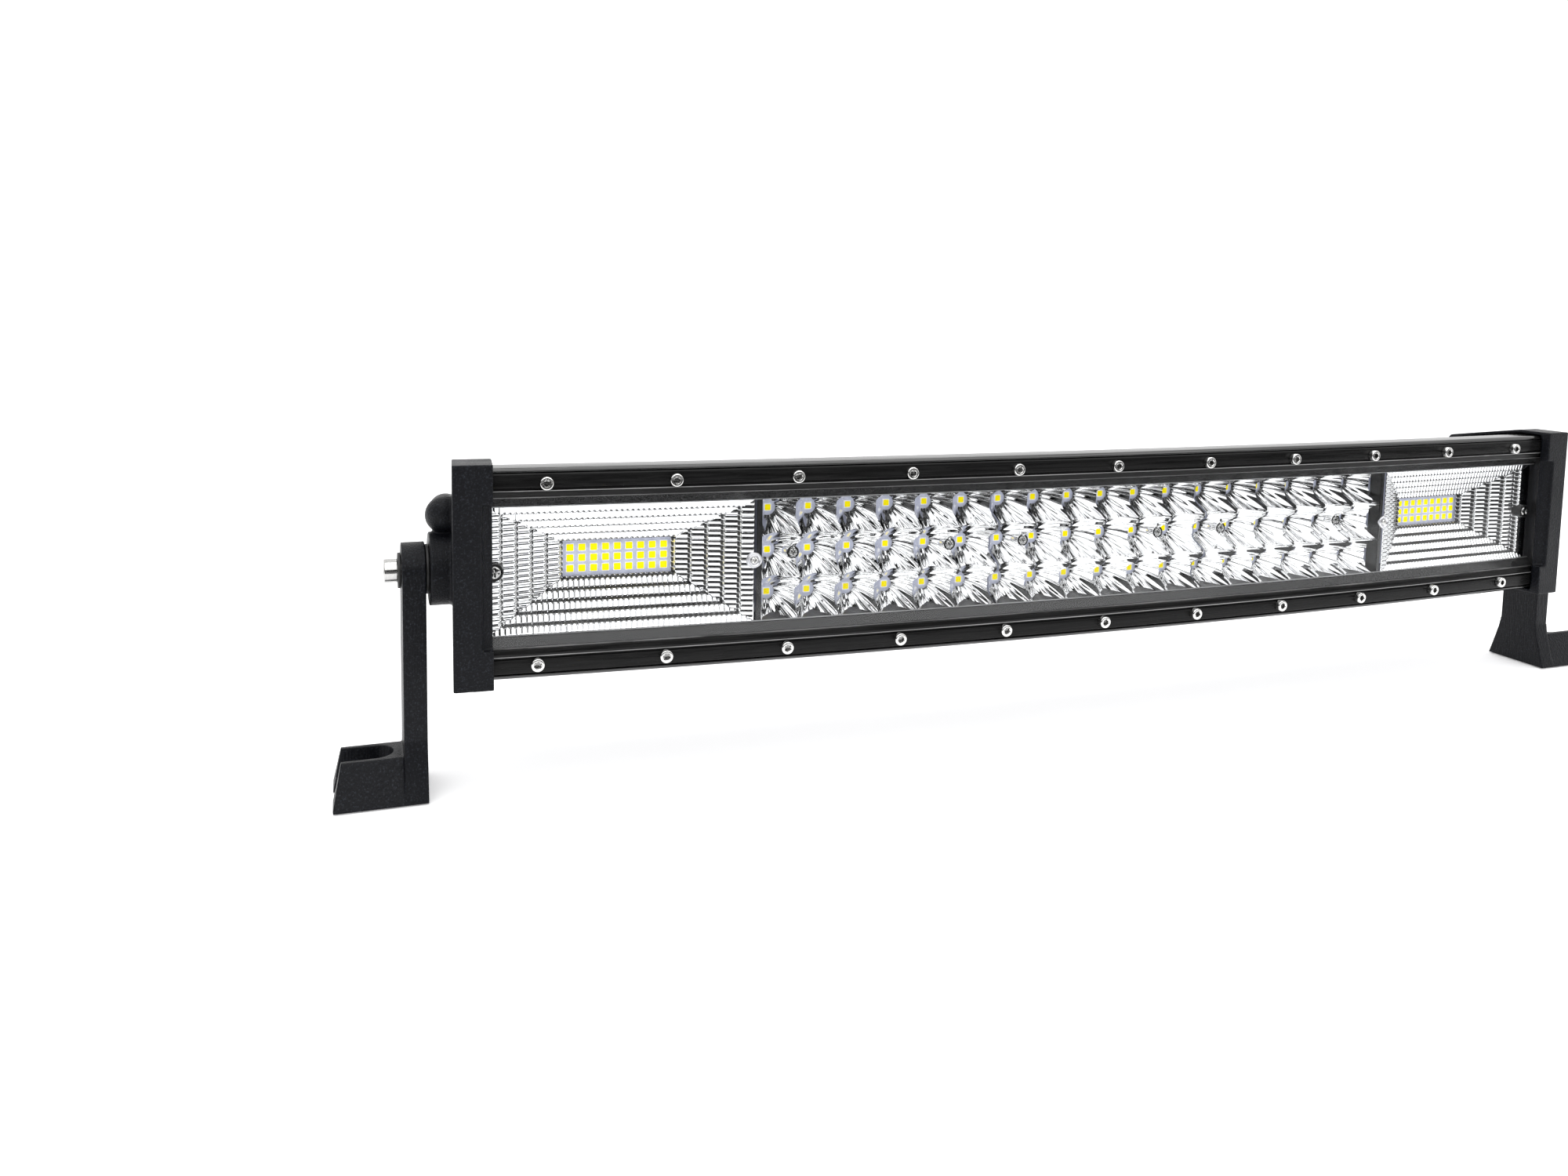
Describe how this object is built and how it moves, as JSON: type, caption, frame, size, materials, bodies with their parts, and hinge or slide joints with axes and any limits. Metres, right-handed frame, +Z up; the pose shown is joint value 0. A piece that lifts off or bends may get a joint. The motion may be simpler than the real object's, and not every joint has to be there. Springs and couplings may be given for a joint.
{
  "type": "led light bar",
  "caption": "Curved LED light bar with flood and spot reflectors behind a clear lens, on two swivel feet with open bolt slots.",
  "frame": {"origin": "centre of the bounding box in plan, on the plane the two feet stand on", "axes": "+X along the bar to the end without the cable hood, the light shines towards -Y, +Z up from the feet"},
  "size_m": [0.6074, 0.0879, 0.1225],
  "materials": {
    "housing": "black anodised extrusion",
    "trim": "black anodised strip",
    "casting": "fine-textured black powder coat on die-cast aluminium",
    "lens": "clear polycarbonate",
    "seal": "matt black silicone",
    "reflector": "vacuum-metallised mirror on moulded plastic",
    "led_board": "white solder mask with raised LED packages",
    "steel": "stainless steel, socket heads",
    "washer": "black plastic",
    "gland": "black nylon"
  },
  "bodies": {
    "lamp": {"housing": "housing", "top_trim": "trim", "bottom_trim": "trim", "lens": "lens", "lens_seal": "seal", "left_flood_reflector": "reflector", "left_spot_reflector": "reflector", "middle_spot_reflector": "reflector", "right_spot_reflector": "reflector", "right_flood_reflector": "reflector", "left_flood_led_board": "led_board", "left_spot_led_board": "led_board", "middle_spot_led_board": "led_board", "right_spot_led_board": "led_board", "right_flood_led_board": "led_board", "left_end_cap": "casting", "left_cap_seal": "seal", "left_pivot_bolt": "steel", "left_inner_washer": "washer", "left_outer_washer": "washer", "right_end_cap": "casting", "right_cap_seal": "seal", "right_pivot_bolt": "steel", "right_inner_washer": "washer", "right_outer_washer": "washer", "gland_body": "gland", "gland_nut": "gland", "breather": "gland", "top_trim_screw_01": "steel", "top_trim_screw_02": "steel", "top_trim_screw_03": "steel", "top_trim_screw_04": "steel", "top_trim_screw_05": "steel", "top_trim_screw_06": "steel", "top_trim_screw_07": "steel", "top_trim_screw_08": "steel", "top_trim_screw_09": "steel", "top_trim_screw_10": "steel", "top_trim_screw_11": "steel", "bottom_trim_screw_01": "steel", "bottom_trim_screw_02": "steel", "bottom_trim_screw_03": "steel", "bottom_trim_screw_04": "steel", "bottom_trim_screw_05": "steel", "bottom_trim_screw_06": "steel", "bottom_trim_screw_07": "steel", "bottom_trim_screw_08": "steel", "bottom_trim_screw_09": "steel", "bottom_trim_screw_10": "steel", "bottom_trim_screw_11": "steel", "left_cap_screw_1": "steel", "left_cap_screw_2": "steel", "left_cap_screw_3": "steel", "left_cap_screw_4": "steel", "right_cap_screw_1": "steel", "right_cap_screw_2": "steel", "right_cap_screw_3": "steel", "right_cap_screw_4": "steel"},
    "left_foot_bracket": {"left_bracket": "casting"},
    "right_foot_bracket": {"right_bracket": "casting"}
  },
  "joints": [
    {"name": "left_bracket_pivot", "type": "hinge", "parent": "lamp", "child": "left_foot_bracket", "pos_m": [-0.27555, -0.0098, 0.0815], "axis": [1, 0, 0], "range_deg": [-90, 90]},
    {"name": "right_bracket_pivot", "type": "hinge", "parent": "lamp", "child": "right_foot_bracket", "pos_m": [0.27555, -0.0098, 0.0815], "axis": [1, 0, 0], "range_deg": [-90, 90]}
  ]
}
